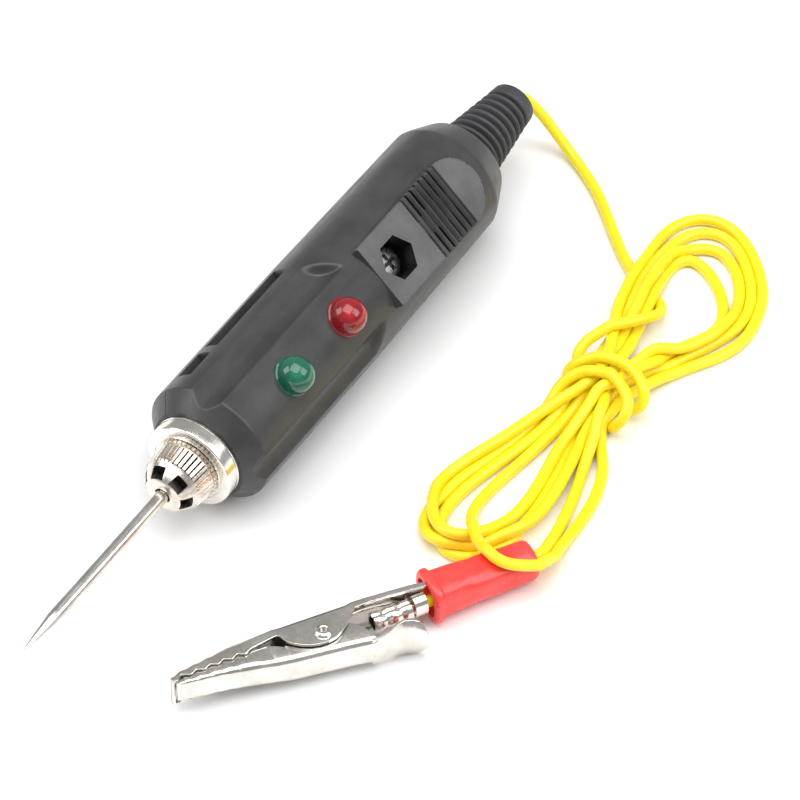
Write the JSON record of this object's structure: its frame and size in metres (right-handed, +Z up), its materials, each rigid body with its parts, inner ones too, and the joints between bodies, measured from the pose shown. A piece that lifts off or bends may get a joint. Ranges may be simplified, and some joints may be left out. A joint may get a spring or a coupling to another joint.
{
  "type": "low-voltage circuit tester with needle probe and clip lead",
  "caption": "Pen-shaped low-voltage circuit tester: black two-lamp body, clamped steel needle, yellow ground lead tied in a hank, crocodile clip with a red boot.",
  "frame": {"origin": "on the surface that the tester lies on, below the middle of the tester's box without its cord and clip", "axes": "+X from the needle to the cord end along the pen, +Z up, the thumb pad rolled 43 degrees towards -Y"},
  "size_m": [0.1251, 0.0582, 0.0199],
  "materials": {
    "black_plastic": "satin moulded",
    "black_rubber": "matt",
    "bright_chrome": "polished",
    "nickel_plate": "turned and plated",
    "plated_steel": "ground and plated",
    "clip_steel": "stamped and plated",
    "brass": "turned",
    "copper": "bare stranded copper",
    "green_lens": "clear tinted",
    "red_lens": "clear tinted",
    "yellow_pvc": "soft PVC",
    "red_pvc": "soft PVC",
    "board_laminate": "solder-masked laminate",
    "resistor_body": "lacquered"
  },
  "bodies": {
    "tester": {"upper_shell": "black_plastic", "lower_shell": "black_plastic", "housing_screw": "plated_steel", "housing_nut": "plated_steel", "front_collar": "bright_chrome", "led_green": "green_lens", "led_red": "red_lens", "circuit_board": "board_laminate", "resistor_green": "resistor_body", "resistor_red": "resistor_body", "contact_spring": "plated_steel", "core_wire": "copper", "cord_inner": "yellow_pvc", "strain_relief": "black_rubber", "cord_lead": "yellow_pvc", "cord_hank": "yellow_pvc", "cord_tail": "yellow_pvc", "clip_cable_jaw": "clip_steel", "clip_rivet": "clip_steel", "clip_spring": "clip_steel", "clip_wire": "yellow_pvc", "clip_boot": "red_pvc"},
    "collet": {"collet": "brass", "probe_needle": "plated_steel"},
    "nose_cap": {"nose_cap": "nickel_plate"},
    "free_jaw": {"clip_free_jaw": "clip_steel"}
  },
  "joints": [
    {"name": "collet_slide", "type": "slide", "parent": "tester", "child": "collet", "axis": [-1, 0, 0], "range_m": [0, 0.00075]},
    {"name": "nose_cap_turn", "type": "hinge", "parent": "collet", "child": "nose_cap", "pos_m": [-0.025, 0.0006, 0.00925], "axis": [-1, 0, 0], "range_deg": [0, 540]},
    {"name": "clip_open", "type": "hinge", "parent": "tester", "child": "free_jaw", "pos_m": [-0.035, -0.0287, 0.00345], "axis": [0, 0, 1], "range_deg": [0, 16], "stiffness_Nm_per_rad": 0.02, "springref_deg": -20.05}
  ],
  "couplings": [
    {"joint": "nose_cap_turn", "follows": "collet_slide", "rad_per_m": 12566}
  ]
}
